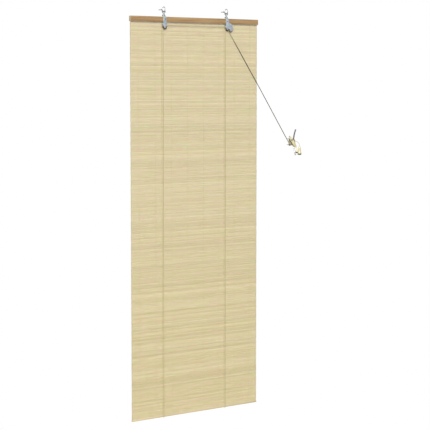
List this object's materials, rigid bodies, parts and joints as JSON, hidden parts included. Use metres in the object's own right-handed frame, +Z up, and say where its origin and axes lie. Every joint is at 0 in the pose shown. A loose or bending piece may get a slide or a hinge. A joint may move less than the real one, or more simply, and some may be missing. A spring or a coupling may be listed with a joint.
{
  "type": "roll-up bamboo blind",
  "caption": "Woven bamboo blind on a wooden head rail, hung on two wall hooks and rolled up from the bottom by cords that run through a cord lock to a wall cleat.",
  "frame": {"origin": "on the wall's face, midway between the two wall hooks, level with their shanks", "axes": "+X to the right of someone facing the blind, +Y into the wall, +Z up"},
  "size_m": [0.8182, 0.0671, 1.6422],
  "materials": {
    "bamboo": "woven split-bamboo slats, dry and matt",
    "batten": "planed wood, clear satin lacquer",
    "rod_wood": "sanded dowel",
    "zinc_strap": "bright zinc plate",
    "fastener_steel": "zinc plated wire and screws",
    "link_wire": "dark blued wire",
    "pulley_wheel": "olive brown moulded wheel",
    "cord": "braided cord",
    "cleat_metal": "cast and tumbled",
    "pale_wood": "turned and clear lacquered"
  },
  "bodies": {
    "headrail": {"head_batten_front": "batten", "head_batten_back": "batten", "bamboo_mat": "bamboo", "batten_nail_1": "fastener_steel", "batten_nail_2": "fastener_steel", "batten_nail_3": "fastener_steel", "batten_nail_4": "fastener_steel", "left_hanger": "zinc_strap", "left_link": "link_wire", "left_wall_hook": "fastener_steel", "left_strap_screw": "fastener_steel", "left_pulley_axle": "fastener_steel", "right_hanger": "zinc_strap", "right_link": "link_wire", "right_wall_hook": "fastener_steel", "right_strap_screw": "fastener_steel", "right_pulley_axle": "fastener_steel", "lock_rivet": "fastener_steel", "left_cord_eye": "fastener_steel", "left_anchor_knot": "cord", "left_back_cord": "cord", "left_front_cord": "cord", "right_cord_eye": "fastener_steel", "right_anchor_knot": "cord", "right_back_cord": "cord", "right_front_cord": "cord", "cross_cord": "cord", "cord_cleat": "cleat_metal", "cleat_screw_upper": "fastener_steel", "cleat_screw_lower": "fastener_steel", "cord_hitch": "cord", "pull_cord_left": "cord", "pull_cord_right": "cord", "cord_joiner": "pale_wood", "large_bell": "pale_wood", "small_bell": "pale_wood", "joiner_cord": "cord", "small_bell_cord": "cord", "large_bell_cord": "cord"},
    "bottom_rod": {"bottom_rod": "rod_wood"},
    "cord_bights": {"left_cord_bight": "cord", "right_cord_bight": "cord"},
    "left_pulley": {"left_pulley": "pulley_wheel"},
    "right_pulley": {"right_pulley": "pulley_wheel"},
    "lock_pin": {"lock_pin": "fastener_steel"},
    "lock_roller": {"lock_roller": "pulley_wheel"}
  },
  "joints": [
    {"name": "shade_lift", "type": "slide", "parent": "headrail", "child": "cord_bights", "axis": [0, 0, 1], "range_m": [0, 1.4], "deforming": ["bamboo_mat", "left_front_cord", "left_back_cord", "right_front_cord", "right_back_cord"]},
    {"name": "rod_roll", "type": "hinge", "parent": "cord_bights", "child": "bottom_rod", "pos_m": [0, -0.019, -1.625], "axis": [1, 0, 0], "continuous": true},
    {"name": "left_pulley_spin", "type": "hinge", "parent": "headrail", "child": "left_pulley", "pos_m": [-0.147, -0.02475, -0.0685], "axis": [0, 1, 0], "continuous": true},
    {"name": "right_pulley_spin", "type": "hinge", "parent": "headrail", "child": "right_pulley", "pos_m": [0.148, -0.02475, -0.0685], "axis": [0, 1, 0], "continuous": true},
    {"name": "lock_pin_slide", "type": "slide", "parent": "headrail", "child": "lock_pin", "axis": [0.8189, 0, 0.5739], "range_m": [0, 0.0025]},
    {"name": "lock_roller_spin", "type": "hinge", "parent": "lock_pin", "child": "lock_roller", "pos_m": [0.164, -0.02475, -0.075], "axis": [0, 1, 0], "continuous": true}
  ],
  "couplings": [
    {"joint": "rod_roll", "follows": "shade_lift", "rad_per_m": -60},
    {"joint": "left_pulley_spin", "follows": "shade_lift", "rad_per_m": 279.7},
    {"joint": "right_pulley_spin", "follows": "shade_lift", "rad_per_m": 279.7}
  ]
}
